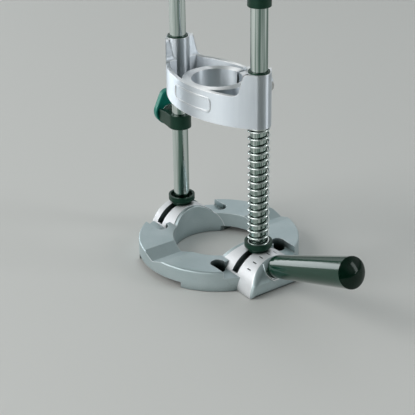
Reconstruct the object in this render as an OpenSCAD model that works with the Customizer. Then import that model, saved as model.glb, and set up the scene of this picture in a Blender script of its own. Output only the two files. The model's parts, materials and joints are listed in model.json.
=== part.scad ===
// Portable drill guide stand with two columns.
// A base ring with two half-round saddles carries a mast that tilts about the work surface.
// A sprung carriage with a drill collar slides on the columns, above a depth stop.
// The origin lies at the ring's centre on the work surface. X runs through both columns.

/* [Base ring] */
// Outside diameter of the base ring
ring_d = 140; // [136:1:150]
// Diameter of the hole in the base ring
ring_hole_d = 80; // [76:1:84]
// Height of the base ring
ring_h = 18; // [17:0.5:20]
// Rounding of the ring's upper outer edge
ring_edge_r = 1.5; // [0.5:0.5:3]
// Height of the ledges beside the saddles
ledge_h = 12; // [10:0.5:12.5]
// Width of the ledges across the saddle
ledge_w = 75.6; // [75:0.2:80]
// Distance from the centre to where a ledge begins
ledge_x = 44.5; // [43:0.5:45]
// Width of the vee groove across the ring
vee_w = 27; // [16:1:34]
// Depth of the vee groove
vee_depth = 4.5; // [2:0.5:6]
// Width of the relieved part of the underside
relief_w = 63; // [50:1:66]
// Height of the relieved part of the underside
relief_h = 5; // [2:0.5:6]
// Wall left around the channel cast into the underside
core_wall = 5; // [4:0.5:8]
// Metal left over the channel at the vee groove
core_roof = 4; // [3:0.5:6]

/* [Screw holes] */
// Distance between the screw holes along X
screw_span_x = 85; // [82:0.5:88]
// Distance between the screw holes along Y
screw_span_y = 64; // [62:0.5:66]
// Diameter of the recess for a screw head
screw_head_d = 12.5; // [10:0.5:13]
// Diameter of the screw hole
screw_d = 6; // [4:0.5:7]
// Metal left under a screw head
screw_seat_t = 4; // [3:0.5:6]

/* [Saddles] */
// Outside diameter of the half-round saddles
saddle_d = 56; // [54:0.5:60]
// Wall of the hollow saddles
saddle_wall = 5; // [4:0.5:6]
// Distance from the centre to the plain saddle's end
saddle_end_x = 67.5; // [66.5:0.5:70]
// Rounding of the plain saddle's end
saddle_end_r = 1.5; // [0.5:0.5:3]
// Length of the hollow in each saddle
saddle_core_l = 16.4; // [15.5:0.1:17]
// Diameter at which the machined rim begins
rim_d = 87; // [85:0.5:90]
// Height of the machined rim over the casting
rim_step = 0.5; // [0.2:0.1:1]
// Width of the slot in each saddle
slot_w = 7; // [6.6:0.1:8]
// Half angle of the slot
slot_angle = 62; // [55:1:63]
// Angle between scale marks
mark_step = 15; // [15:5:20]
// Scale marks on each side of upright
mark_count = 3; // [1:1:3]
// Distance of the scale marks from the slot
mark_gap = 7.6; // [2:0.2:8]
// Length of a scale mark
mark_l = 4.4; // [2:0.2:5]
// Width of a scale mark
mark_w = 0.9; // [0.4:0.1:1]
// Depth of a scale mark
mark_depth = 0.4; // [0.2:0.1:0.8]

/* [Nose and handle] */
// Distance from the centre to the upright lower part of the nose
nose_x = 84.5; // [83:0.5:87]
// Height at which the nose begins to slope
nose_bend_h = 11.5; // [9:0.5:13]
// Slope of the nose's upper part, and rise of the handle
nose_angle = 21; // [20:1:25]
// Rounding of the nose's upper edge
nose_r = 4.5; // [2:0.5:5]
// Rounding of the nose's lower edge
nose_foot_r = 4; // [2:0.5:5]
// Height of the handle's axis on the nose
handle_h = 21; // [19:0.5:22]
// Diameter of the boss on the nose
nose_boss_d = 24.4; // [20:0.2:25]
// Height of the boss on the nose
nose_boss_h = 1; // [0.5:0.1:2]
// Thickness of the handle's flange
flange_t = 1.6; // [1:0.1:3]
// Diameter of the handle's flange
flange_d = 18; // [17:0.2:20]
// Length of the grip
grip_l = 95; // [80:1:130]
// Diameter of the grip at its foot
grip_foot_d = 19.6; // [18:0.2:22]
// Diameter of the grip at its end
grip_end_d = 25.6; // [24:0.2:30]
// Rounding of the grip's foot
grip_foot_r = 1.5; // [1:0.5:3]
// Height of the dome on the handle's end cap
dome_h = 4.2; // [2:0.2:6]
// Depth of the groove around the end cap
cap_groove = 0.8; // [0.4:0.1:1.5]
// Diameter of the handle's stud
stud_d = 10; // [8:1:12]
// Length of the stud inside the nose
stud_in_l = 10; // [6:0.5:12]
// Length of the stud inside the grip
stud_grip_l = 45; // [30:1:60]

/* [Columns and feet] */
// Distance between the columns
column_span = 112.8; // [111:0.2:114]
// Diameter of a column
column_d = 14; // [13:0.2:14.4]
// Height of the column's upper end
column_top = 248; // [246:1:270]
// Bevel on the column's upper end
column_bevel = 1; // [0.4:0.2:1.6]
// Diameter of a foot cup
cup_d = 23.5; // [22:0.5:24]
// Height of a foot cup over the saddle
cup_h = 7.4; // [7:0.2:9]
// Diameter of a foot cup where it rides on the saddle
cup_foot_d = 17.2; // [16:0.2:17.4]
// Thickness of a foot cup's floor
cup_floor = 3; // [2.5:0.5:4]
// Diameter of the recess in a foot cup
cup_recess_d = 19.6; // [19.4:0.1:20]
// Depth of the recess in a foot cup
cup_recess_h = 3; // [2:0.5:3]
// Diameter of a column cap
top_cap_d = 19; // [18:0.5:22]
// Height of a column cap
top_cap_h = 13; // [11:0.5:18]
// Depth that a cap covers on its column
top_cap_cover = 10; // [6:0.5:10]
// Rounding of a column cap's upper edge
top_cap_r = 2.4; // [1:0.2:3]
// Diameter of the clamp bolts
bolt_d = 6; // [5:0.5:6]
// Depth of the bolt's thread in the column
bolt_thread_l = 13; // [8:1:20]
// Depth of the column's hole past the bolt's end
bolt_end_gap = 1; // [0.5:0.5:3]
// Diameter of the bolt's head
bolt_head_d = 10; // [9:0.5:11]
// Height of the bolt's head
bolt_head_h = 6; // [4:0.5:6]
// Size across flats of the hexagon socket
bolt_socket = 5; // [4:0.5:5]
// Thickness of the clamp shoe
shoe_t = 4.5; // [3:0.5:5]
// Length of the clamp shoe along the saddle
shoe_l = 15; // [12:0.5:15]
// Width of the clamp shoe
shoe_w = 18; // [14:0.5:20]

/* [Carriage] */
// Height of the carriage's underside at rest
carriage_z = 139; // [135:1:142]
// Diameter of the column bosses
boss_d = 19.6; // [19.4:0.2:22]
// Height of the column bosses
boss_h = 45.4; // [44:0.2:50]
// Height of the carriage's walls
wall_h = 26; // [25:0.5:30]
// Thickness of the carriage's walls
wall_t = 3.5; // [3:0.25:4.5]
// Radius of the bowed walls
wall_r = 93; // [88:1:106]
// Length of the hollow between the walls
hollow_l = 98; // [90:1:102]
// Thickness of the carriage's floor
floor_t = 5; // [3:0.5:8]
// Length of the low part between the bosses at its foot
scoop_foot_l = 101; // [96:0.5:103]
// Length of the low part between the bosses at its top
scoop_top_l = 109; // [104:0.5:110]
// Rounding at the foot of the low part
scoop_r = 6; // [2:0.5:7]
// Rounding of the bosses where the low part begins
scoop_corner_r = 4.5; // [2:0.5:6]
// Diameter of the drill collar
collar_d = 43; // [38:1:44]
// Wall of the drill collar
collar_wall = 7.5; // [6:0.5:8]
// Height of the drill collar
collar_h = 24; // [16:1:25]
// Width of the slit in the collar
slit_w = 3; // [2:0.5:4]
// Distance from the back wall to the clamp screw's axis
ear_reach = 9; // [8.6:0.1:12]
// Diameter of the clamp ears
ear_d = 18; // [15:0.5:20]
// Length across both clamp ears
ear_l = 24; // [20:1:30]
// Diameter of the collar's clamp screw
collar_screw_d = 6; // [4:0.5:6]
// Length of the clamp screw past its nut
collar_screw_tip = 1; // [0.5:0.5:3]
// Diameter of the clamp screw's head
collar_head_d = 10; // [9:0.5:11]
// Height of the clamp screw's head
collar_head_h = 6; // [4:0.5:6]
// Size across flats of the clamp screw's socket
collar_socket = 5; // [4:0.5:5]
// Size of the clamp screw's nut across its flats
collar_nut_w = 10; // [9:0.5:11]
// Thickness of the clamp screw's nut
collar_nut_t = 5; // [4:0.5:6]
// Length of the raised border on the front wall
border_l = 46; // [36:1:50]
// Height of the raised border on the front wall
border_h = 12.6; // [10:0.2:19]
// Distance of the border's centre from the drill axis
border_x = 5.5; // [0:0.5:8]
// Height of the border's middle over the carriage's lower face
border_z = 14.8; // [13:0.2:15]
// Width of the raised border's line
border_w = 1.2; // [0.8:0.2:2]
// Height of the border over the wall
border_t = 0.6; // [0.3:0.1:1]
// Rounding of the border's corners
border_r = 4; // [3:0.5:4.5]
// Outside diameter of the slide bushes
bush_d = 17.4; // [17:0.2:17.8]
// Length of a slide bush
bush_l = 12; // [8:0.5:16]
// Height of an upper bush over its boss
bush_lip = 1; // [0.5:0.1:2]

/* [Return spring] */
// Diameter of the spring's wire
wire_d = 1.7; // [1.2:0.1:1.8]
// Outside diameter of the spring
spring_d = 18.6; // [18.4:0.1:19]
// Curls of the spring
spring_curls = 16; // [10:1:20]

/* [Depth stop] */
// Height of the depth stop's underside at rest
stop_z = 101.2; // [98:0.2:104]
// Height of the depth stop
stop_h = 12.4; // [12:0.2:16]
// Width of the depth stop
stop_w = 20; // [19:0.5:24]
// Length of the stop's block from the column's axis
stop_block_l = 20.9; // [16:0.1:22]
// Length of the level part of the stop from the column's axis
stop_level_l = 8; // [7:0.5:10]
// Fall of the block's upper face toward the knob
stop_fall = 2; // [0.5:0.5:2]
// Angle that the stop is turned about its column
stop_turn = 9; // [0:1:20]
// Diameter of the clamping stud
stop_stud_d = 6; // [5:0.5:6]
// Thickness of the trapped nut
stop_nut_t = 3; // [2.5:0.5:4]
// Size of the trapped nut across its flats
stop_nut_w = 10; // [9:0.5:11]
// Wall between the column and the nut
stop_nut_wall = 3.4; // [3:0.2:4]
// Thickness of the knob's washer
stop_washer_t = 1.2; // [0.8:0.2:2]
// Diameter of the knob's washer
stop_washer_d = 14; // [10:0.5:15]
// Radius to the tip of the knob's lobes
knob_r = 20; // [18:0.2:21]
// Radius of a lobe's tip
knob_tip_r = 7; // [5:0.5:8]
// Radius of the knob at its waist
knob_waist_r = 12.2; // [10:0.2:12.4]
// Radius of the knob's hub
knob_hub_r = 6.4; // [5:0.2:7]
// Height of the hub over the knob's back
knob_hub_h = 0.8; // [0.4:0.2:2]
// Thickness of the knob
knob_h = 5.4; // [5:0.2:8]
// Wall around the hollow in the knob's back
knob_wall = 1.6; // [1.2:0.2:2]
// Depth of the hollow in the knob's back
knob_hollow = 2.4; // [1:0.2:3]
// Lobes of the knob
knob_lobes = 1; // [1:1:3]

/* [Fits] */
// Running clearance of the carriage and the depth stop on the columns
run_gap = 0.05; // [0.02:0.01:0.09]
// Gap between a part that tilts and the saddle that it rides on
ride_gap = 0.1; // [0.05:0.05:0.15]
// Clearance of pieces that are pushed or screwed together
seat_gap = 0.03; // [0.01:0.01:0.06]
// Clearance of a bolt in its hole
bolt_gap = 0.3; // [0.2:0.05:0.4]

/* [Hidden] */
$fn = 96;
// Overlap of a cutting shape past the face that it cuts
over = 1;
// Margin of a rounded end over the bar that it trims
trim = 0.03;
ring_r = ring_d / 2;
hole_r = ring_hole_d / 2;
column_x = column_span / 2;
column_r = column_d / 2;
saddle_r = saddle_d / 2;
saddle_core_r = saddle_r - saddle_wall;
cup_top = saddle_r + cup_h;
column_foot = saddle_r + cup_floor;
recess_z = cup_top - cup_recess_h;
cap_z = column_top - top_cap_cover;
bolt_seat_z = saddle_core_r - shoe_t;
boss_r = boss_d / 2;
boss_top = carriage_z + boss_h;
collar_r = collar_d / 2;
bush_r = bush_d / 2;
// Depth that two shapes dip into each other where they meet almost smoothly
join = 0.05;
// Distance of the bowed wall's centre from the drill axis, so that the wall meets the bosses smoothly
wall_y = sqrt(pow(wall_r - boss_r + join, 2) - pow(column_x, 2));
// Where the bowed wall meets the boss
wall_end_x = column_x * wall_r / (wall_r - boss_r + join);
ear_y = wall_r - wall_y + ear_reach;
ear_z = carriage_z + collar_h / 2;
stop_mid_z = stop_z + stop_h / 2;
knob_x = stop_block_l + stop_washer_t;
core_top = ring_h - vee_depth - core_roof;
// Way that the nose's upper part falls back for each unit of height
nose_lean = tan(nose_angle);
// Place of the grip's foot along the handle's axis
grip_z = nose_boss_h + flange_t;
spring_r = (spring_d - wire_d) / 2;
wire_r = wire_d / 2;
rings_per_curl = 8;
wire_sides = 6;
curl_rings = spring_curls * rings_per_curl;
spring_last = curl_rings + 2;
spring_low = recess_z;
spring_high = carriage_z;
spring_rise = (spring_high - spring_low - 2 * wire_d) / curl_rings;

// Lies along the handle's axis, with its foot on the sloping nose
module on_nose() {
    translate([nose_x - nose_lean * (handle_h - nose_bend_h), 0, handle_h])
        rotate([0, 90 - nose_angle, 0])
            children();
}

// Cylinder along X that starts at a given place
module bar(x, r, l) {
    translate([x, 0, 0])
        rotate([0, 90, 0])
            cylinder(r = r, h = l);
}

// Draws a shape again on the other side of the YZ plane
module both_sides() {
    children();
    mirror([1, 0, 0])
        children();
}

// Draws a shape again on the other side of the XZ plane
module both_faces() {
    children();
    mirror([0, 1, 0])
        children();
}

// Hexagon prism of a given size across its flats
module hexagon(w, h) {
    cylinder(d = w / cos(30), h = h, $fn = 6);
}

// Turned outline of the ring, with a round upper edge
module ring_blank() {
    rotate_extrude() {
        square([ring_r - ring_edge_r, ring_h]);
        square([ring_r, ring_h - ring_edge_r]);
        translate([ring_r - ring_edge_r, ring_h - ring_edge_r])
            circle(ring_edge_r);
    }
}

module vee_cut() {
    translate([0, ring_r + over, 0])
        rotate([90, 0, 0])
            linear_extrude(ring_d + 2 * over)
                polygon([
                    [0, ring_h - vee_depth],
                    [vee_w / 2, ring_h],
                    [vee_w / 2, ring_h + over],
                    [-vee_w / 2, ring_h + over],
                    [-vee_w / 2, ring_h],
                ]);
}

module ledge_cut() {
    translate([ledge_x, -ledge_w / 2, ledge_h])
        cube([ring_r, ledge_w, ring_h]);
}

// Half-round saddle with a machined rim that stands over the cast part next to the hole
module saddle_bar(l) {
    difference() {
        bar(0, saddle_r, l);
        cylinder(d = rim_d, h = saddle_d, center = true);
    }
    bar(0, saddle_r - rim_step, rim_d / 2 + over);
}

// Plain end: the bar's edge is turned round
module plain_saddle() {
    intersection() {
        saddle_bar(saddle_end_x + over);
        rotate([0, 90, 0])
            rotate_extrude()
                rounded_end(saddle_r + trim, saddle_end_x, saddle_end_r);
    }
}

// Half section of a bar with a round edge at its far end
module rounded_end(r, l, edge) {
    square([r - edge, l]);
    square([r, l - edge]);
    translate([r - edge, l - edge])
        circle(edge);
}

// Bar with a round edge at its end, sheared to a given lean
module leaning_end(l, lean) {
    multmatrix([
        [1, 0, -lean, 0],
        [0, 1, 0, 0],
        [0, 0, 1, 0],
    ])
        rotate([0, 90, 0])
            rotate_extrude()
                rounded_end(saddle_r + trim, l, nose_r);
}

// Side of the nose, whose lower edge is turned round
module nose_side() {
    difference() {
        translate([0, -over])
            square([nose_x + over, saddle_d]);
        translate([nose_x - nose_foot_r + join, nose_foot_r - join])
            difference() {
                translate([0, -nose_foot_r - over])
                    square(nose_foot_r + over);
                circle(nose_foot_r);
            }
    }
}

// Nose: an upright end below, which slopes back above, with a boss for the handle
module nose_saddle() {
    intersection() {
        saddle_bar(nose_x + over);
        leaning_end(nose_x, 0);
        leaning_end(nose_x + nose_lean * nose_bend_h, nose_lean);
        translate([0, saddle_d, 0])
            rotate([90, 0, 0])
                linear_extrude(2 * saddle_d)
                    nose_side();
    }
    intersection() {
        on_nose()
            translate([0, 0, -nose_r])
                cylinder(d = nose_boss_d, h = nose_boss_h + nose_r + over);
        leaning_end(nose_x + nose_lean * nose_bend_h + nose_boss_h / cos(nose_angle), nose_lean);
        bar(0, saddle_r - rim_step, nose_x + nose_boss_h);
    }
}

// Hollow under a saddle with the arc slot for the clamp bolt
module saddle_hollow() {
    bar(column_x - saddle_core_l / 2, saddle_core_r, saddle_core_l);
    translate([column_x - slot_w / 2, 0, 0])
        rotate([90, 0, 90])
            linear_extrude(slot_w)
                polygon([
                    [0, 0],
                    [saddle_d, saddle_d / tan(slot_angle)],
                    [saddle_d, saddle_d],
                    [-saddle_d, saddle_d],
                    [-saddle_d, saddle_d / tan(slot_angle)],
                ]);
}

module screw_hole() {
    translate([screw_span_x / 2, screw_span_y / 2, screw_seat_t])
        cylinder(d = screw_head_d, h = ring_h);
    translate([screw_span_x / 2, screw_span_y / 2, -over])
        cylinder(d = screw_d, h = screw_seat_t + 2 * over);
}

// Scale marks along the outer part of the nose saddle's rim
module scale_marks() {
    for (i = [-mark_count : mark_count])
        rotate([i * mark_step, 0, 0])
            translate([column_x + slot_w / 2 + mark_gap, -mark_w / 2, saddle_r - mark_depth])
                cube([mark_l, mark_w, saddle_r]);
}

// Channel cast into the underside of the ring's front and back
module underside_core() {
    intersection() {
        rotate_extrude()
            translate([hole_r + core_wall, -over])
                square([ring_r - hole_r - 2 * core_wall, core_top + over]);
        translate([-relief_w / 2 + core_wall, -ring_d, -over])
            cube([relief_w - 2 * core_wall, 2 * ring_d, ring_h]);
    }
}

module underside_relief() {
    translate([-relief_w / 2, -ring_d, -over])
        cube([relief_w, 2 * ring_d, relief_h + over]);
}

module base_ring() {
    color([0.62, 0.68, 0.71])
        difference() {
            union() {
                difference() {
                    ring_blank();
                    vee_cut();
                    both_sides()
                        ledge_cut();
                }
                nose_saddle();
                mirror([1, 0, 0])
                    plain_saddle();
            }
            translate([-ring_d, -ring_d, -ring_d])
                cube([2 * ring_d, 2 * ring_d, ring_d]);
            translate([0, 0, -over])
                cylinder(r = hole_r, h = saddle_d);
            both_sides() {
                saddle_hollow();
                both_faces()
                    screw_hole();
            }
            scale_marks();
            underside_relief();
            underside_core();
            on_nose()
                translate([0, 0, -stud_in_l])
                    cylinder(d = stud_d + 2 * seat_gap, h = stud_in_l + nose_boss_h + over);
        }
}

module handle_flange() {
    color([0.06, 0.08, 0.07])
        on_nose()
            translate([0, 0, nose_boss_h])
                difference() {
                    cylinder(d = flange_d, h = flange_t);
                    translate([0, 0, -over])
                        cylinder(d = stud_d + 2 * seat_gap, h = flange_t + 2 * over);
                }
}

module handle_stud() {
    color([0.6, 0.6, 0.62])
        on_nose()
            translate([0, 0, -stud_in_l])
                cylinder(d = stud_d, h = stud_in_l + grip_z + stud_grip_l);
}

// Half section of the tapered grip, with a round foot
module grip_section() {
    foot_r = grip_foot_d / 2;
    difference() {
        polygon([
            [0, 0],
            [foot_r, 0],
            [grip_end_d / 2, grip_l],
            [0, grip_l],
        ]);
        difference() {
            translate([foot_r - grip_foot_r, -over])
                square([grip_foot_r + over, grip_foot_r + over]);
            translate([foot_r - grip_foot_r, grip_foot_r])
                circle(grip_foot_r);
        }
    }
}

module handle_grip() {
    color([0.05, 0.06, 0.06])
        on_nose()
            translate([0, 0, grip_z])
                difference() {
                    rotate_extrude()
                        grip_section();
                    translate([0, 0, -over])
                        cylinder(d = stud_d + 2 * seat_gap, h = stud_grip_l + over);
                }
}

// Domed cap that closes the grip, over a narrow groove
module handle_cap() {
    cap_r = grip_end_d / 2;
    dome_r = (cap_r * cap_r + dome_h * dome_h) / (2 * dome_h);
    color([0.04, 0.05, 0.05])
        on_nose()
            translate([0, 0, grip_z + grip_l]) {
                cylinder(r = cap_r - cap_groove, h = cap_groove);
                translate([0, 0, cap_groove])
                    intersection() {
                        cylinder(r = cap_r, h = dome_h);
                        translate([0, 0, dome_h - dome_r])
                            sphere(dome_r);
                    }
            }
}

// Plastic foot of a column, hollowed below to ride on the saddle
module foot_cup() {
    difference() {
        rotate_extrude()
            polygon([
                [0, saddle_r - cup_floor],
                [cup_foot_d / 2, saddle_r - cup_floor],
                [cup_foot_d / 2, saddle_r],
                [cup_d / 2, column_foot],
                [cup_d / 2, cup_top],
                [0, cup_top],
            ]);
        bar(-cup_d, saddle_r + ride_gap, 2 * cup_d);
        translate([0, 0, column_foot])
            cylinder(r = column_r + seat_gap, h = cup_top);
        translate([0, 0, recess_z])
            cylinder(d = cup_recess_d, h = cup_top);
        cylinder(d = bolt_d + 2 * bolt_gap, h = cup_top);
    }
}

module left_foot_cup() {
    color([0.06, 0.08, 0.07])
        translate([-column_x, 0, 0])
            foot_cup();
}

module right_foot_cup() {
    color([0.06, 0.08, 0.07])
        translate([column_x, 0, 0])
            foot_cup();
}

// Shoe that is pulled up inside the saddle
module clamp_shoe() {
    difference() {
        intersection() {
            bar(-shoe_l / 2, saddle_core_r - ride_gap, shoe_l);
            translate([-shoe_l, -shoe_w / 2, bolt_seat_z])
                cube([2 * shoe_l, shoe_w, shoe_t]);
        }
        cylinder(d = bolt_d + 2 * bolt_gap, h = saddle_d);
    }
}

module left_clamp_shoe() {
    color([0.7, 0.71, 0.73])
        translate([-column_x, 0, 0])
            clamp_shoe();
}

module right_clamp_shoe() {
    color([0.7, 0.71, 0.73])
        translate([column_x, 0, 0])
            clamp_shoe();
}

// Socket-head bolt that pulls the column, the cup and the shoe together
module clamp_bolt() {
    translate([0, 0, bolt_seat_z]) {
        difference() {
            translate([0, 0, -bolt_head_h])
                cylinder(d = bolt_head_d, h = bolt_head_h);
            translate([0, 0, -bolt_head_h - over])
                hexagon(bolt_socket, bolt_head_h / 2 + over);
        }
        cylinder(d = bolt_d, h = column_foot - bolt_seat_z + bolt_thread_l);
    }
}

module left_clamp_bolt() {
    color([0.5, 0.5, 0.52])
        translate([-column_x, 0, 0])
            clamp_bolt();
}

module right_clamp_bolt() {
    color([0.5, 0.5, 0.52])
        translate([column_x, 0, 0])
            clamp_bolt();
}

// Round steel column with a threaded foot and a bevelled upper end
module column() {
    difference() {
        union() {
            translate([0, 0, column_foot])
                cylinder(r = column_r, h = column_top - column_foot - column_bevel);
            translate([0, 0, column_top - column_bevel])
                cylinder(r1 = column_r, r2 = column_r - column_bevel, h = column_bevel);
        }
        translate([0, 0, column_foot - over])
            cylinder(d = bolt_d + 2 * seat_gap, h = over + bolt_thread_l + bolt_end_gap);
    }
}

module left_column() {
    color([0.78, 0.8, 0.82])
        translate([-column_x, 0, 0])
            column();
}

module right_column() {
    color([0.78, 0.8, 0.82])
        translate([column_x, 0, 0])
            column();
}

// Cap pushed on a column's upper end, which also stops the carriage
module column_cap() {
    translate([0, 0, cap_z])
        difference() {
            rotate_extrude()
                rounded_end(top_cap_d / 2, top_cap_h, top_cap_r);
            translate([0, 0, -over])
                cylinder(r = column_r + seat_gap, h = top_cap_cover + over);
        }
}

module left_column_cap() {
    color([0.06, 0.08, 0.07])
        translate([-column_x, 0, 0])
            column_cap();
}

module right_column_cap() {
    color([0.06, 0.08, 0.07])
        translate([column_x, 0, 0])
            column_cap();
}

// Centre line of the return spring: a straight end, the curls, a straight end
function spring_angle(i) = 360 * min(max(i - 1, 0), curl_rings) / rings_per_curl;
function spring_height(i) =
    i == 0 ? spring_low
    : i == spring_last ? spring_high
    : spring_low + wire_d + (i - 1) * spring_rise;
function spring_point(i) = [
    spring_r * cos(spring_angle(i)),
    spring_r * sin(spring_angle(i)),
    spring_height(i),
];
function unit(v) = v / norm(v);
spring_line = [for (i = [0 : spring_last]) spring_point(i)];
// Direction of the wire at a ring: the mean of the runs that meet there
function spring_way(i) =
    i == 0 || i == spring_last ? [0, 0, 1]
    : unit(unit(spring_line[i] - spring_line[i - 1]) + unit(spring_line[i + 1] - spring_line[i]));
function spring_out(i) = [cos(spring_angle(i)), sin(spring_angle(i)), 0];
function wire_ring(i) =
    let (out = spring_out(i), up = unit(cross(spring_way(i), out)))
    [for (k = [0 : wire_sides - 1], a = 360 * k / wire_sides)
        spring_line[i] + wire_r * (cos(a) * out + sin(a) * up)];
spring_points = [for (i = [0 : spring_last]) each wire_ring(i)];
function corner(i, k) = i * wire_sides + k % wire_sides;
spring_faces = concat(
    [for (i = [0 : spring_last - 1], k = [0 : wire_sides - 1])
        each [
            [corner(i, k), corner(i + 1, k), corner(i, k + 1)],
            [corner(i, k + 1), corner(i + 1, k), corner(i + 1, k + 1)],
        ]],
    [for (k = [1 : wire_sides - 2]) [corner(0, 0), corner(0, k), corner(0, k + 1)]],
    [for (k = [1 : wire_sides - 2])
        [corner(spring_last, 0), corner(spring_last, k + 1), corner(spring_last, k)]]
);
// Least gap between the wire and its own next curls
spring_self_gap = min([
    for (i = [0 : spring_last], j = [i + rings_per_curl / 2 : spring_last])
        if (j > i) norm(spring_line[i] - spring_line[j]) - wire_d
]);
echo(least_gap_of_the_spring_to_itself = spring_self_gap);

module return_spring() {
    color([0.75, 0.77, 0.79])
        translate([column_x, 0, 0])
            polyhedron(points = spring_points, faces = spring_faces, convexity = 8);
}

// Lens between the two bowed walls, cut off where the walls meet the bosses
module bowed_plan(r, half_l) {
    intersection() {
        translate([0, wall_y])
            circle(r, $fn = 180);
        translate([0, -wall_y])
            circle(r, $fn = 180);
        square([2 * half_l, 2 * r], center = true);
    }
}

module carriage_plan() {
    bowed_plan(wall_r, wall_end_x);
    for (side = [-1, 1])
        translate([side * column_x, 0])
            circle(boss_r);
}

// Low part between the bosses, seen from the front, with round corners at its foot and its top
module scoop_section() {
    rise = boss_h - wall_h;
    flare = (scoop_top_l - scoop_foot_l) / 2;
    slant = norm([rise, flare]);
    foot_x = scoop_foot_l / 2 - scoop_r * (slant - flare) / rise;
    corner_x = scoop_top_l / 2 + scoop_corner_r * (slant - flare) / rise;
    corner_z = rise - scoop_corner_r + join;
    corner_in = scoop_corner_r - join;
    polygon([
        [-foot_x, 0],
        [foot_x, 0],
        [foot_x, scoop_r],
        [scoop_foot_l / 2 + flare * scoop_r / rise, scoop_r],
        [scoop_top_l / 2, rise],
        [scoop_top_l / 2, rise + over],
        [-scoop_top_l / 2, rise + over],
        [-scoop_top_l / 2, rise],
        [-scoop_foot_l / 2 - flare * scoop_r / rise, scoop_r],
        [-foot_x, scoop_r],
    ]);
    both_sides() {
        translate([foot_x + join, scoop_r + join])
            circle(scoop_r);
        difference() {
            polygon([
                [corner_x, corner_z],
                [corner_x - corner_in * rise / slant, corner_z + corner_in * flare / slant],
                [scoop_top_l / 2, rise],
                [scoop_top_l / 2, rise + over],
                [corner_x, rise + over],
            ]);
            translate([corner_x, corner_z])
                circle(scoop_corner_r);
        }
    }
}

// Rounded rectangle drawn from its centre
module rounded_plate(l, h, r) {
    square([l - 2 * r, h], center = true);
    square([l, h - 2 * r], center = true);
    for (x = [-1, 1], y = [-1, 1])
        translate([x * (l / 2 - r), y * (h / 2 - r)])
            circle(r);
}

// Raised bare border that follows the front wall
module front_border() {
    intersection() {
        translate([border_x, 0, carriage_z + border_z])
            rotate([90, 0, 0])
                linear_extrude(wall_r)
                    difference() {
                        rounded_plate(border_l, border_h, border_r);
                        rounded_plate(border_l - 2 * border_w, border_h - 2 * border_w, border_r - border_w);
                    }
        translate([0, wall_y, carriage_z])
            difference() {
                cylinder(r = wall_r + border_t, h = wall_h, $fn = 180);
                translate([0, 0, -over])
                    cylinder(r = wall_r - wall_t / 2, h = wall_h + 2 * over, $fn = 180);
            }
    }
}

// Clamp ear behind the collar, with a round end
module clamp_ears() {
    translate([-ear_l / 2, ear_y, ear_z])
        rotate([0, 90, 0])
            cylinder(d = ear_d, h = ear_l);
    translate([-ear_l / 2, collar_r + wall_t, ear_z - ear_d / 2])
        cube([ear_l, ear_y - collar_r - wall_t, ear_d]);
}

// Round posts about the columns, which the low part and the hollow go around
module boss_posts() {
    for (side = [-1, 1])
        translate([side * column_x, 0, carriage_z])
            cylinder(r = boss_r, h = 2 * boss_h);
}

module carriage() {
    color([0.83, 0.85, 0.88])
        difference() {
            union() {
                difference() {
                    translate([0, 0, carriage_z])
                        linear_extrude(boss_h)
                            carriage_plan();
                    difference() {
                        translate([0, wall_r, carriage_z + wall_h])
                            rotate([90, 0, 0])
                                linear_extrude(2 * wall_r)
                                    scoop_section();
                        boss_posts();
                    }
                    difference() {
                        translate([0, 0, carriage_z + floor_t])
                            linear_extrude(boss_h)
                                bowed_plan(wall_r - wall_t, hollow_l / 2);
                        boss_posts();
                    }
                }
                translate([0, 0, carriage_z])
                    cylinder(r = collar_r + collar_wall, h = collar_h);
                clamp_ears();
                front_border();
            }
            translate([0, 0, carriage_z - over])
                cylinder(r = collar_r, h = boss_h);
            translate([-slit_w / 2, 0, carriage_z - over])
                cube([slit_w, ear_y + ear_d, boss_h]);
            translate([-ear_l, ear_y, ear_z])
                rotate([0, 90, 0])
                    cylinder(d = collar_screw_d + 2 * bolt_gap, h = 2 * ear_l);
            for (side = [-1, 1])
                translate([side * column_x, 0, carriage_z]) {
                    translate([0, 0, -over])
                        cylinder(r = column_r + bolt_gap, h = boss_h + 2 * over);
                    translate([0, 0, -over])
                        cylinder(r = bush_r + seat_gap, h = bush_l + over);
                    translate([0, 0, boss_h - bush_l])
                        cylinder(r = bush_r + seat_gap, h = bush_l + over);
                }
        }
}

// Plain plastic bush in a boss
module bush(h) {
    difference() {
        cylinder(r = bush_r, h = h);
        translate([0, 0, -over])
            cylinder(r = column_r + run_gap, h = h + 2 * over);
    }
}

module left_upper_bush() {
    color([0.1, 0.11, 0.11])
        translate([-column_x, 0, boss_top - bush_l])
            bush(bush_l + bush_lip);
}

module right_upper_bush() {
    color([0.1, 0.11, 0.11])
        translate([column_x, 0, boss_top - bush_l])
            bush(bush_l + bush_lip);
}

module left_lower_bush() {
    color([0.1, 0.11, 0.11])
        translate([-column_x, 0, carriage_z])
            bush(bush_l);
}

module right_lower_bush() {
    color([0.1, 0.11, 0.11])
        translate([column_x, 0, carriage_z])
            bush(bush_l);
}

module collar_screw() {
    shank_l = ear_l + collar_nut_t + collar_screw_tip;
    color([0.55, 0.56, 0.58])
        translate([ear_l / 2 - shank_l, ear_y, ear_z])
            rotate([0, 90, 0]) {
                cylinder(d = collar_screw_d, h = shank_l);
                translate([0, 0, shank_l])
                    difference() {
                        cylinder(d = collar_head_d, h = collar_head_h);
                        translate([0, 0, collar_head_h / 2])
                            hexagon(collar_socket, collar_head_h);
                    }
            }
}

module collar_nut() {
    color([0.6, 0.61, 0.63])
        translate([-ear_l / 2 - collar_nut_t, ear_y, ear_z])
            rotate([0, 90, 0])
                difference() {
                    hexagon(collar_nut_w, collar_nut_t);
                    translate([0, 0, -over])
                        cylinder(d = collar_screw_d + 2 * seat_gap, h = collar_nut_t + 2 * over);
                }
}

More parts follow.
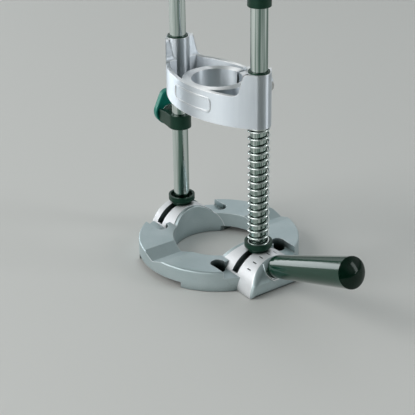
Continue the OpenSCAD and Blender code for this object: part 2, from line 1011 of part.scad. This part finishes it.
// Pieces of the depth stop are drawn from the left column's axis, with the knob along X
module on_stop() {
    translate([-column_x, 0, stop_mid_z])
        rotate(-stop_turn)
            mirror([1, 0, 0])
                children();
}

// Ring with a block for the clamping stud, whose upper face falls toward the knob
module stop_body() {
    color([0.09, 0.12, 0.11])
        on_stop()
            difference() {
                translate([0, 0, -stop_h / 2])
                    linear_extrude(stop_h) {
                        circle(d = stop_w);
                        translate([0, -stop_w / 2])
                            square([stop_block_l, stop_w]);
                    }
                rotate([90, 0, 0])
                    linear_extrude(2 * stop_w, center = true)
                        polygon([
                            [stop_level_l, stop_h / 2],
                            [stop_block_l, stop_h / 2 - stop_fall],
                            [stop_block_l + over, stop_h / 2 - stop_fall],
                            [stop_block_l + over, stop_h / 2 + over],
                            [stop_level_l, stop_h / 2 + over],
                        ]);
                cylinder(r = column_r + run_gap, h = 2 * stop_h, center = true);
                bar(0, stop_stud_d / 2 + seat_gap, 2 * stop_block_l);
                translate([column_r + stop_nut_wall, -stop_nut_w / 2 - seat_gap, -stop_nut_w / 2 - seat_gap])
                    cube([stop_nut_t + 2 * seat_gap, stop_nut_w + 2 * seat_gap, stop_h]);
            }
}

// Square nut dropped into the stop's block
module stop_nut() {
    color([0.7, 0.71, 0.72])
        on_stop()
            difference() {
                translate([column_r + stop_nut_wall + seat_gap, -stop_nut_w / 2, -stop_nut_w / 2])
                    cube([stop_nut_t, stop_nut_w, stop_nut_w]);
                bar(0, stop_stud_d / 2 + seat_gap, 2 * stop_block_l);
            }
}

module stop_stud() {
    color([0.6, 0.61, 0.62])
        on_stop()
            bar(column_r + run_gap + bolt_gap, stop_stud_d / 2, knob_x + knob_hub_h - column_r);
}

module stop_washer() {
    color([0.85, 0.86, 0.87])
        on_stop()
            difference() {
                bar(stop_block_l, stop_washer_d / 2, stop_washer_t);
                bar(0, stop_stud_d / 2 + seat_gap, 2 * stop_block_l);
            }
}

// Outline of the knob: a round waist with tapering lobes, drawn in by a given inset
module knob_plan(inset) {
    waist = knob_waist_r - inset;
    tip = knob_tip_r - inset;
    reach = knob_r - knob_tip_r;
    // Angle where the straight flanks touch the waist and the tip
    touch = acos((waist - tip) / reach);
    circle(waist);
    for (i = [0 : knob_lobes - 1])
        rotate(180 + i * 360 / knob_lobes) {
            polygon([
                [0, 0],
                [waist * cos(touch), -waist * sin(touch)],
                [reach + tip * cos(touch), -tip * sin(touch)],
                [reach + tip * cos(touch), tip * sin(touch)],
                [waist * cos(touch), waist * sin(touch)],
            ]);
            translate([reach, 0])
                circle(tip);
        }
}

// Knob with a hollow back, whose hub bears on the washer
module stop_knob() {
    color([0.0, 0.5, 0.42])
        on_stop()
            translate([knob_x, 0, 0])
                rotate([0, 90, 0])
                    difference() {
                        union() {
                            translate([0, 0, knob_hub_h])
                                difference() {
                                    linear_extrude(knob_h)
                                        knob_plan(0);
                                    translate([0, 0, -over])
                                        linear_extrude(knob_hollow + over)
                                            knob_plan(knob_wall);
                                }
                            cylinder(r = knob_hub_r, h = knob_hub_h + knob_hollow + knob_wall);
                        }
                        translate([0, 0, -over])
                            cylinder(d = stop_stud_d + 2 * seat_gap, h = over + knob_hub_h + knob_h / 2);
                    }
}

base_ring();
handle_flange();
handle_stud();
handle_grip();
handle_cap();
left_foot_cup();
right_foot_cup();
left_clamp_shoe();
right_clamp_shoe();
left_clamp_bolt();
right_clamp_bolt();
left_column();
right_column();
left_column_cap();
right_column_cap();
return_spring();
carriage();
left_upper_bush();
right_upper_bush();
left_lower_bush();
right_lower_bush();
collar_screw();
collar_nut();
stop_body();
stop_nut();
stop_stud();
stop_washer();
stop_knob();
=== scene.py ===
import json
import math

import bpy
from mathutils import Matrix, Vector


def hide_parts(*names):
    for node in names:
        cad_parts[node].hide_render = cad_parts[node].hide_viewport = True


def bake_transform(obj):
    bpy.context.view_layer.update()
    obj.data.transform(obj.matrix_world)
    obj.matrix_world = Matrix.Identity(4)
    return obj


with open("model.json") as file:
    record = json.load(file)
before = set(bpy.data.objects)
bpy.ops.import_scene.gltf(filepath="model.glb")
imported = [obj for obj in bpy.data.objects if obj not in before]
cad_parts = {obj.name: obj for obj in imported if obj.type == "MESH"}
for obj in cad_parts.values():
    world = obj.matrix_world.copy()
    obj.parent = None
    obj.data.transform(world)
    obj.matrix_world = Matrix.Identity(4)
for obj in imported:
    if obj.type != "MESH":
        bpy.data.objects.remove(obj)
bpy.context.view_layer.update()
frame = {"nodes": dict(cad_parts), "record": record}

nodes = frame["nodes"]
scene = bpy.context.scene
MM = 0.001

# Driving sizes that the looks share with the solids, in millimetres and degrees
SADDLE_D = 56.0
SLOT_W = 7.0
MARK_GAP, MARK_L, MARK_DEPTH = 7.6, 4.4, 0.4
NOSE_X, NOSE_BEND_H, NOSE_ANGLE, NOSE_BOSS_H = 84.5, 11.5, 21.0, 1.0
COLUMN_SPAN = 112.8
CUP_H, CUP_RECESS_H = 7.4, 3.0
CARRIAGE_Z = 139.0
WIRE_D, SPRING_D, OPEN_CURLS = 1.7, 18.6, 16

# Faces of the base with a finish of their own; SKIN and MARK_SLACK are the margins around them
SKIN = 0.2
MARK_SLACK = 0.5
SADDLE_R = SADDLE_D / 2
COLUMN_X = COLUMN_SPAN / 2
MARK_FLOOR = SADDLE_R - MARK_DEPTH
MARK_START = COLUMN_X + SLOT_W / 2 + MARK_GAP - MARK_SLACK
MARK_END = MARK_START + MARK_L + 2 * MARK_SLACK
NOSE_LEAN = math.radians(NOSE_ANGLE)
BOSS_WAY = (math.cos(NOSE_LEAN), 0.0, math.sin(NOSE_LEAN))
BOSS_FACE = NOSE_X * math.cos(NOSE_LEAN) + NOSE_BEND_H * math.sin(NOSE_LEAN) + NOSE_BOSS_H

# Return spring: open curls, with one closed and ground curl at each end
SPRING_R = (SPRING_D - WIRE_D) / 2
SPRING_LOW = SADDLE_R + CUP_H - CUP_RECESS_H
SPRING_HIGH = CARRIAGE_Z
SPRING_CURLS = OPEN_CURLS + 2
CLOSED_RISE = 1.04 * WIRE_D
GROUND_HALF = 0.35 * WIRE_D

# Camera, fitted to the edges of the object: offsets and lens in millimetres, clip range in metres
AZIMUTH, ELEVATION, ROLL = math.radians(54.75), math.radians(26.36), math.radians(-0.87)
OFFSET_X, OFFSET_Y, DISTANCE = -10.1, 38.94, 1094.8
LENS, SENSOR_W = 107.65, 36.0
CLIP_NEAR, CLIP_FAR = 0.05, 50.0
TOWARD_VIEWER = Vector((math.sin(AZIMUTH), -math.cos(AZIMUTH), 0.0))

# Stage, in metres
FLOOR_HALF, FLOOR_Z = 6.0, -0.0004
OBJECT_MIDDLE = (0.0, 0.0, 0.1)
HANDLE_ROOT = (0.12, 0.0, 0.04)


def place_camera():
    """Camera at the photograph's viewing angle."""
    right = Vector((math.cos(AZIMUTH), math.sin(AZIMUTH), 0.0))
    back = TOWARD_VIEWER * math.cos(ELEVATION) + Vector((0.0, 0.0, math.sin(ELEVATION)))
    up = back.cross(right)
    side = right * math.cos(ROLL) + up * math.sin(ROLL)
    top = up * math.cos(ROLL) - right * math.sin(ROLL)
    data = bpy.data.cameras.new("camera")
    data.lens = LENS
    data.sensor_width = SENSOR_W
    data.clip_start = CLIP_NEAR
    data.clip_end = CLIP_FAR
    camera = bpy.data.objects.new("camera", data)
    scene.collection.objects.link(camera)
    turn = Matrix((side, top, back)).transposed().to_4x4()
    place = (side * OFFSET_X + top * OFFSET_Y + back * DISTANCE) * MM
    camera.matrix_world = Matrix.Translation(place) @ turn
    scene.camera = camera


class Tree:
    """Node tree of a material or world, with a short call for each node used here."""

    NOISE_LOW, NOISE_HIGH = 0.3, 0.7

    def __init__(self, owner, shader="Principled BSDF", place="Object"):
        owner.use_nodes = True
        self.owner = owner
        self.nodes = owner.node_tree.nodes
        self.links = owner.node_tree.links
        self.shader = self.nodes[shader]
        self.place = self.add("ShaderNodeTexCoord").outputs[place]

    def add(self, kind, **settings):
        """New node with the given settings."""
        node = self.nodes.new(kind)
        for key, value in settings.items():
            setattr(node, key, value)
        return node

    def put(self, socket, value):
        """Links a socket to another, or sets it to a plain value."""
        if isinstance(value, bpy.types.NodeSocket):
            self.links.new(value, socket)
        else:
            socket.default_value = value

    def set(self, **values):
        """Fills the shader's inputs, whose names have _ for each space."""
        for key, value in values.items():
            self.put(self.shader.inputs[key.replace("_", " ")], value)

    def calc(self, operation, first, second):
        """Result of an operation on two numbers."""
        node = self.add("ShaderNodeMath", operation=operation)
        self.put(node.inputs[0], first)
        self.put(node.inputs[1], second)
        return node.outputs[0]

    def dot(self, first, second):
        """Dot product of two vectors."""
        node = self.add("ShaderNodeVectorMath", operation="DOT_PRODUCT")
        self.put(node.inputs[0], first)
        self.put(node.inputs[1], second)
        return node.outputs["Value"]

    def along(self, direction):
        """How far a spot lies along a direction."""
        return self.dot(self.place, direction)

    def off_x_axis(self):
        """Distance of a spot from the X axis."""
        node = self.add("ShaderNodeVectorMath", operation="LENGTH")
        self.put(node.inputs[0], self.stretch((0.0, 1.0, 1.0)))
        return node.outputs["Value"]

    def within(self, distance, low, high):
        """1 where a distance lies between two sizes in millimetres, else 0."""
        above = self.calc("GREATER_THAN", distance, low * MM)
        below = self.calc("LESS_THAN", distance, high * MM)
        return self.calc("MULTIPLY", above, below)

    def stretch(self, scale, shift=(0.0, 0.0, 0.0)):
        """Place of a spot, scaled along each axis and shifted."""
        node = self.add("ShaderNodeMapping")
        self.put(node.inputs["Vector"], self.place)
        self.put(node.inputs["Location"], shift)
        self.put(node.inputs["Scale"], scale)
        return node.outputs[0]

    def noise(self, scale, detail=2.0, rough=0.5, vector=None):
        """Smooth noise, by default over the piece's own place."""
        node = self.add("ShaderNodeTexNoise")
        self.put(node.inputs["Vector"], vector or self.place)
        self.put(node.inputs["Scale"], scale)
        self.put(node.inputs["Detail"], detail)
        self.put(node.inputs["Roughness"], rough)
        return node.outputs["Fac"]

    def ramp(self, value, low, high, start=0.0, end=1.0, smooth=False):
        """Goes from start to end while value goes from low to high."""
        node = self.add("ShaderNodeMapRange", clamp=True)
        node.interpolation_type = "SMOOTHSTEP" if smooth else "LINEAR"
        self.put(node.inputs["Value"], value)
        self.put(node.inputs["From Min"], low)
        self.put(node.inputs["From Max"], high)
        self.put(node.inputs["To Min"], start)
        self.put(node.inputs["To Max"], end)
        return node.outputs[0]

    def spread(self, noise, start=0.0, end=1.0):
        """Goes from start to end over the range that noise mostly has."""
        return self.ramp(noise, self.NOISE_LOW, self.NOISE_HIGH, start, end)

    def blend(self, share, first, second):
        """Mix of two colours."""
        node = self.add("ShaderNodeMix", data_type="RGBA")
        self.put(node.inputs["Factor"], share)
        self.put(node.inputs[6], first)
        self.put(node.inputs[7], second)
        return node.outputs[2]

    def between(self, share, first, second):
        """Mix of two numbers."""
        node = self.add("ShaderNodeMix", data_type="FLOAT")
        self.put(node.inputs["Factor"], share)
        self.put(node.inputs[2], first)
        self.put(node.inputs[3], second)
        return node.outputs[0]

    def round_edges(self, radius):
        """Normal that runs round over the edges of the solid."""
        node = self.add("ShaderNodeBevel", samples=6)
        self.put(node.inputs["Radius"], radius)
        return node.outputs[0]

    def worn_and_highlit_edges(self, radius):
        """Share of worn metal with a painted edge highlight: high along sharp edges, none on flat faces."""
        face = self.add("ShaderNodeNewGeometry").outputs["Normal"]
        turn = self.dot(face, self.round_edges(radius))
        return self.ramp(turn, low=0.8, high=0.99, start=0.9, end=0.0)

    def painted_top_highlight(self):
        """Share of painted highlight on faces that look up along the piece's own Z axis."""
        face = self.add("ShaderNodeTexCoord").outputs["Normal"]
        upward = self.dot(face, (0.0, 0.0, 1.0))
        return self.ramp(upward, low=0.6, high=0.95, start=0.0, end=0.9, smooth=True)

    def open_sky(self, distance):
        """Share of open air over a spot: low in holes, slots and corners."""
        node = self.add("ShaderNodeAmbientOcclusion", samples=8)
        self.put(node.inputs["Distance"], distance)
        return node.outputs["AO"]

    def bump(self, height, distance, strength, normal):
        """Fine relief laid over a normal."""
        node = self.add("ShaderNodeBump")
        self.put(node.inputs["Strength"], strength)
        self.put(node.inputs["Distance"], distance)
        self.put(node.inputs["Height"], height)
        self.put(node.inputs["Normal"], normal)
        return node.outputs[0]


def rgb(r, g, b):
    """Opaque colour."""
    return (r, g, b, 1.0)


PLASTIC_GLOSS = rgb(0.5, 1.0, 0.76)


def cast_base():
    """Satin cast aluminium: bright machined rims, polished boss face, worn edges with a painted edge
    highlight, dark scale marks, and painted shade in holes, slots and corners.
    """
    t = Tree(bpy.data.materials.new("base_casting"))
    off_axis = t.off_x_axis()
    rim = t.within(off_axis, SADDLE_R - SKIN, SADDLE_R + SKIN)
    face = t.within(t.along(BOSS_WAY), BOSS_FACE - SKIN, BOSS_FACE + SKIN)
    sunk = t.within(off_axis, MARK_FLOOR - SKIN, SADDLE_R - SKIN / 2)
    mark = t.calc("MULTIPLY", sunk, t.within(t.along((1.0, 0.0, 0.0)), MARK_START, MARK_END))
    cloud = t.noise(45, detail=3)
    grain = t.noise(1500)
    speck = t.noise(420, detail=3, rough=0.6)
    lines = t.noise(1, detail=3, vector=t.stretch((5200, 260, 260)))

    cast = t.blend(t.spread(cloud), rgb(0.45, 0.543, 0.56), rgb(0.53, 0.613, 0.63))
    cast = t.blend(t.ramp(speck, 0.62, 0.74, 0.0, 0.35), cast, rgb(0.34, 0.40, 0.42))
    # Worn edges, brightened further as a painted edge highlight.
    rubbed_and_highlit = t.calc("MULTIPLY", t.worn_and_highlit_edges(0.9 * MM), 0.7)
    cast = t.blend(rubbed_and_highlit, cast, rgb(0.86, 0.89, 0.91))
    colour = t.blend(t.calc("MAXIMUM", rim, face), cast, rgb(0.85, 0.865, 0.89))
    colour = t.blend(mark, colour, rgb(0.03, 0.035, 0.035))
    # Painted shade: ambient occlusion blends holes, slots and corners toward a near-black green.
    unshaded_share = t.ramp(t.open_sky(16 * MM), 0.2, 0.74, smooth=True)
    colour = t.blend(unshaded_share, rgb(0.004, 0.024, 0.014), colour)

    rough = t.between(rim, t.spread(grain, 0.38, 0.52), t.spread(lines, 0.32, 0.46))
    relief = t.between(rim, grain, lines)
    t.set(Base_Color=colour,
          Metallic=t.between(face, t.between(rim, 0.8, 0.42), 1.0),
          Roughness=t.between(face, rough, 0.16),
          Normal=t.bump(relief, 0.03 * MM, 0.5, t.round_edges(0.7 * MM)))
    return t.owner


def cast_carriage():
    """Pale satin metal with faint upright streaks, worn edges with a painted edge highlight, a painted
    highlight on upper faces and painted shade in hollows.
    """
    t = Tree(bpy.data.materials.new("carriage_casting"))
    cloud = t.noise(30, detail=3)
    streak = t.noise(1, vector=t.stretch((900, 900, 22)))
    grain = t.noise(1900)
    around = t.add("ShaderNodeTangent", direction_type="RADIAL", axis="Z").outputs[0]

    colour = t.blend(t.spread(cloud), rgb(0.655, 0.71, 0.76), rgb(0.725, 0.775, 0.815))
    # Painted shade: ambient occlusion blends hollows and corners toward a dark green.
    unshaded_share = t.ramp(t.open_sky(14 * MM), 0.05, 0.4, smooth=True)
    colour = t.blend(unshaded_share, rgb(0.025, 0.065, 0.05), colour)
    # Painted highlight: worn edges and upward faces blend toward near-white.
    bright = t.calc("MAXIMUM", t.worn_and_highlit_edges(1.1 * MM), t.painted_top_highlight())
    colour = t.blend(bright, colour, rgb(0.93, 0.945, 0.955))

    t.set(Base_Color=colour, Metallic=0.97, Roughness=t.spread(streak, 0.46, 0.54),
          Anisotropic=0.95, Anisotropic_Rotation=0.25, Tangent=around,
          Normal=t.bump(grain, 0.008 * MM, 0.4, t.round_edges(1.1 * MM)))
    return t.owner


def chrome():
    """Hard chrome, drawn along the column, whose base colour carries painted reflection streaks and bands
    from dark green to pale, with faint rubbing marks around it.
    """
    t = Tree(bpy.data.materials.new("chrome"))
    rings = t.noise(1, vector=t.stretch((300, 300, 4200)))
    drawn = t.noise(1, detail=3, vector=t.stretch((900, 900, 14)))
    band = t.noise(1, detail=1, vector=t.stretch((210, 210, 3), shift=(3.0, 0.0, 0.0)))
    smear = t.noise(90, detail=3)

    # Painted reflection: upright drawn streaks and wide bands set the colour between dark green and pale.
    light = t.between(0.65, drawn, band)
    light = t.ramp(light, 0.38, 0.62, smooth=True)
    t.set(Base_Color=t.blend(light, rgb(0.12, 0.20, 0.165), rgb(0.70, 0.765, 0.74)),
          Metallic=1.0, Roughness=t.spread(smear, 0.08, 0.17),
          Normal=t.bump(rings, 0.004 * MM, 0.4, t.round_edges(0.3 * MM)))
    return t.owner


def spring_wire():
    """Bright drawn wire with painted shade on the sides that face the column and the next curls."""
    t = Tree(bpy.data.materials.new("spring_steel"))
    smear = t.noise(400, detail=3)
    colour = t.blend(t.spread(smear), rgb(0.64, 0.70, 0.68), rgb(0.78, 0.835, 0.815))
    # Painted shade: ambient occlusion darkens the wire near the column, the cup and the next curls.
    unshaded_share = t.ramp(t.open_sky(7 * MM), 0.12, 0.62)
    t.set(Base_Color=t.blend(unshaded_share, rgb(0.03, 0.085, 0.06), colour),
          Metallic=1.0, Roughness=t.spread(smear, 0.16, 0.28))
    return t.owner


def plated(name, low, high, rough):
    """Zinc-plated or bright steel with a fine grain."""
    t = Tree(bpy.data.materials.new(name))
    smear = t.noise(350, detail=3)
    grain = t.noise(3500)
    t.set(Base_Color=t.blend(t.spread(smear), low, high),
          Metallic=1.0, Roughness=t.spread(smear, rough - 0.05, rough + 0.07),
          Normal=t.bump(grain, 0.006 * MM, 0.4, t.round_edges(0.35 * MM)))
    return t.owner


def moulded(name, low, high, rough, grain_depth):
    """Moulded plastic with a fine eroded grain and slightly uneven gloss."""
    t = Tree(bpy.data.materials.new(name))
    cloud = t.noise(120, detail=3)
    grain = t.noise(2600, rough=0.6)
    t.set(Base_Color=t.blend(t.spread(cloud), low, high),
          Roughness=t.spread(cloud, rough - 0.04, rough + 0.06),
          Specular_IOR_Level=0.4, Specular_Tint=PLASTIC_GLOSS,
          Normal=t.bump(grain, grain_depth * MM, 0.6, t.round_edges(0.6 * MM)))
    return t.owner


def grip_plastic(name, low, high, gloss):
    """Smooth dark handle plastic with light scuffs along it and a glossy skin."""
    t = Tree(bpy.data.materials.new(name))
    scuff = t.noise(1, detail=4, rough=0.65, vector=t.stretch((60, 260, 260)))
    peel = t.noise(700)
    t.set(Base_Color=t.blend(t.ramp(scuff, 0.35, 0.7), low, high),
          Roughness=t.ramp(scuff, 0.35, 0.75, 0.15, 0.25),
          Specular_IOR_Level=0.05, Specular_Tint=PLASTIC_GLOSS,
          Coat_Weight=gloss, Coat_Roughness=0.1,
          Normal=t.bump(peel, 0.01 * MM, 0.35, t.round_edges(0.6 * MM)))
    return t.owner


def make_materials():
    """One material for each material slot of the record."""
    return {
        "base_casting": cast_base(),
        "carriage_casting": cast_carriage(),
        "chrome": chrome(),
        "spring_steel": spring_wire(),
        "steel": plated("steel", rgb(0.46, 0.47, 0.46), rgb(0.56, 0.57, 0.57), 0.3),
        "bright_metal": plated("bright_metal", rgb(0.74, 0.75, 0.76), rgb(0.82, 0.83, 0.83), 0.25),
        "black_plastic": moulded("black_plastic", rgb(0.003, 0.019, 0.011), rgb(0.006, 0.026, 0.016),
                                 rough=0.34, grain_depth=0.02),
        "grip": grip_plastic("grip", rgb(0.002, 0.032, 0.017), rgb(0.005, 0.042, 0.025), gloss=1.0),
        "knob": moulded("knob", rgb(0.004, 0.150, 0.117), rgb(0.007, 0.195, 0.155),
                        rough=0.36, grain_depth=0.015),
    }


def dress_nodes(materials):
    """Gives each CAD node the material of its slot, and the handle's cap a darker, less glossy copy of the
    grip plastic, its darker colour being painted shade.
    """
    for part in frame["record"]["subparts"]:
        slots = nodes[part["node"]].data.materials
        slots.clear()
        slots.append(materials[part["material_slot"]])
    # Painted shade: the cap's plastic is a darker copy of the grip's.
    cap = grip_plastic("grip_cap_painted_shade", rgb(0.001, 0.010, 0.005), rgb(0.002, 0.015, 0.008), gloss=0.35)
    nodes["handle_cap"].data.materials[0] = cap


def spring_height(turn):
    """Height of the wire's centre after a number of turns."""
    low = SPRING_LOW + GROUND_HALF
    high = SPRING_HIGH - GROUND_HALF
    open_rise = high - low - 2 * CLOSED_RISE
    if turn <= 1:
        return low + CLOSED_RISE * turn
    if turn >= SPRING_CURLS - 1:
        return high - CLOSED_RISE * (SPRING_CURLS - turn)
    return low + CLOSED_RISE + open_rise * (turn - 1) / OPEN_CURLS


def wire_ring(before, here, after, sides):
    """Points around the wire at one place of its path, ground flat at the spring's two ends."""
    angle, height = here
    out = Vector((math.cos(angle), math.sin(angle), 0.0))
    run = SPRING_R * (after[0] - before[0])
    rise = after[1] - before[1]
    way = Vector((-math.sin(angle) * run, math.cos(angle) * run, rise)).normalized()
    up = out.cross(way)
    centre = out * SPRING_R + Vector((COLUMN_X, 0.0, height))
    ring = []
    for k in range(sides):
        turn = 2 * math.pi * k / sides
        point = centre + (out * math.cos(turn) + up * math.sin(turn)) * WIRE_D / 2
        point.z = min(max(point.z, SPRING_LOW), SPRING_HIGH)
        ring.append(point * MM)
    return ring


def spring_mesh(sides=14, steps_per_curl=40):
    """Round wire along the spring's path, closed at both ends."""
    last = SPRING_CURLS * steps_per_curl
    turns = [i / steps_per_curl for i in range(last + 1)]
    path = [(2 * math.pi * turn, spring_height(turn)) for turn in turns]
    verts, faces = [], []
    for i, here in enumerate(path):
        verts += wire_ring(path[max(i - 1, 0)], here, path[min(i + 1, last)], sides)
    for row in range(0, last * sides, sides):
        for k in range(sides):
            j = (k + 1) % sides
            faces.append((row + k, row + j, row + sides + j, row + sides + k))
    faces.append(tuple(range(sides - 1, -1, -1)))
    faces.append(tuple(last * sides + k for k in range(sides)))
    mesh = bpy.data.meshes.new("return_spring_wire")
    mesh.from_pydata(verts, [], faces)
    mesh.validate()
    for polygon in mesh.polygons:
        polygon.use_smooth = len(polygon.vertices) == 4
    return mesh


def make_spring(material):
    """Wound wire that stands for the CAD spring, from the cup's recess up to the carriage."""
    mesh = spring_mesh()
    mesh.materials.append(material)
    piece = bpy.data.objects.new("return_spring_wire", mesh)
    scene.collection.objects.link(piece)
    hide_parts("return_spring")
    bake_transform(piece)


def make_floor():
    """Plain pale floor just under the object."""
    corners = [(-1, -1), (1, -1), (1, 1), (-1, 1)]
    mesh = bpy.data.meshes.new("floor")
    mesh.from_pydata([(x * FLOOR_HALF, y * FLOOR_HALF, FLOOR_Z) for x, y in corners], [], [(0, 1, 2, 3)])
    floor = bpy.data.objects.new("floor", mesh)
    scene.collection.objects.link(floor)
    t = Tree(bpy.data.materials.new("floor"))
    t.set(Base_Color=rgb(0.74, 0.74, 0.72), Roughness=0.7)
    mesh.materials.append(t.owner)


def make_world():
    """Soft studio walls: dark in front of the object, brightest behind it, dimmer low down and overhead."""
    t = Tree(bpy.data.worlds.new("studio"), shader="Background", place="Generated")
    frontward = t.along(TOWARD_VIEWER)
    height = t.along((0.0, 0.0, 1.0))
    front = t.ramp(frontward, 0.45, 0.85, 0.6, 0.04, smooth=True)
    behind = t.ramp(frontward, -0.95, -0.3, 0.4, 0.0, smooth=True)
    low_down = t.ramp(height, 0.0, 0.35, 0.12, 1.0, smooth=True)
    overhead = t.ramp(height, 0.45, 0.95, 1.0, 0.3, smooth=True)
    walls = t.calc("ADD", front, behind)
    rise = t.calc("MULTIPLY", low_down, overhead)
    level = t.calc("MULTIPLY", walls, rise)
    t.set(Color=t.blend(level, rgb(0.0, 0.02, 0.008), rgb(0.95, 0.98, 1.0)), Strength=0.95)
    scene.world = t.owner


def soft_light(name, place, target, size, power, colour=(1.0, 1.0, 1.0)):
    """Large rectangular lamp that faces a target and doesn't show in the picture."""
    data = bpy.data.lights.new(name, "AREA")
    data.shape = "RECTANGLE"
    data.size, data.size_y = size
    data.energy = power
    data.color = colour
    light = bpy.data.objects.new(name, data)
    light.visible_camera = False
    scene.collection.objects.link(light)
    light.location = place
    light.rotation_euler = (Vector(target) - Vector(place)).to_track_quat("-Z", "Y").to_euler()


def make_lights():
    """As the camera sees it: key at the left, side panel in front, strip at the right, low panel behind."""
    soft_light("key", (-0.95, -2.12, 1.6), OBJECT_MIDDLE, size=(1.4, 1.8), power=25.0,
               colour=(1.0, 0.99, 0.97))
    soft_light("side_panel", (0.6, -2.2, 0.56), OBJECT_MIDDLE, size=(2.0, 1.08), power=16.0)
    soft_light("strip", (1.8, 1.6, 1.0), OBJECT_MIDDLE, size=(0.6, 1.6), power=12.0,
               colour=(0.96, 0.98, 1.0))
    soft_light("low_panel", (-2.24, -0.56, 0.33), HANDLE_ROOT, size=(1.3, 0.66), power=11.5,
               colour=(0.93, 0.97, 1.0))


place_camera()
materials = make_materials()
dress_nodes(materials)
make_spring(materials["spring_steel"])
make_floor()
make_world()
make_lights()
scene.view_settings.view_transform = "Standard"
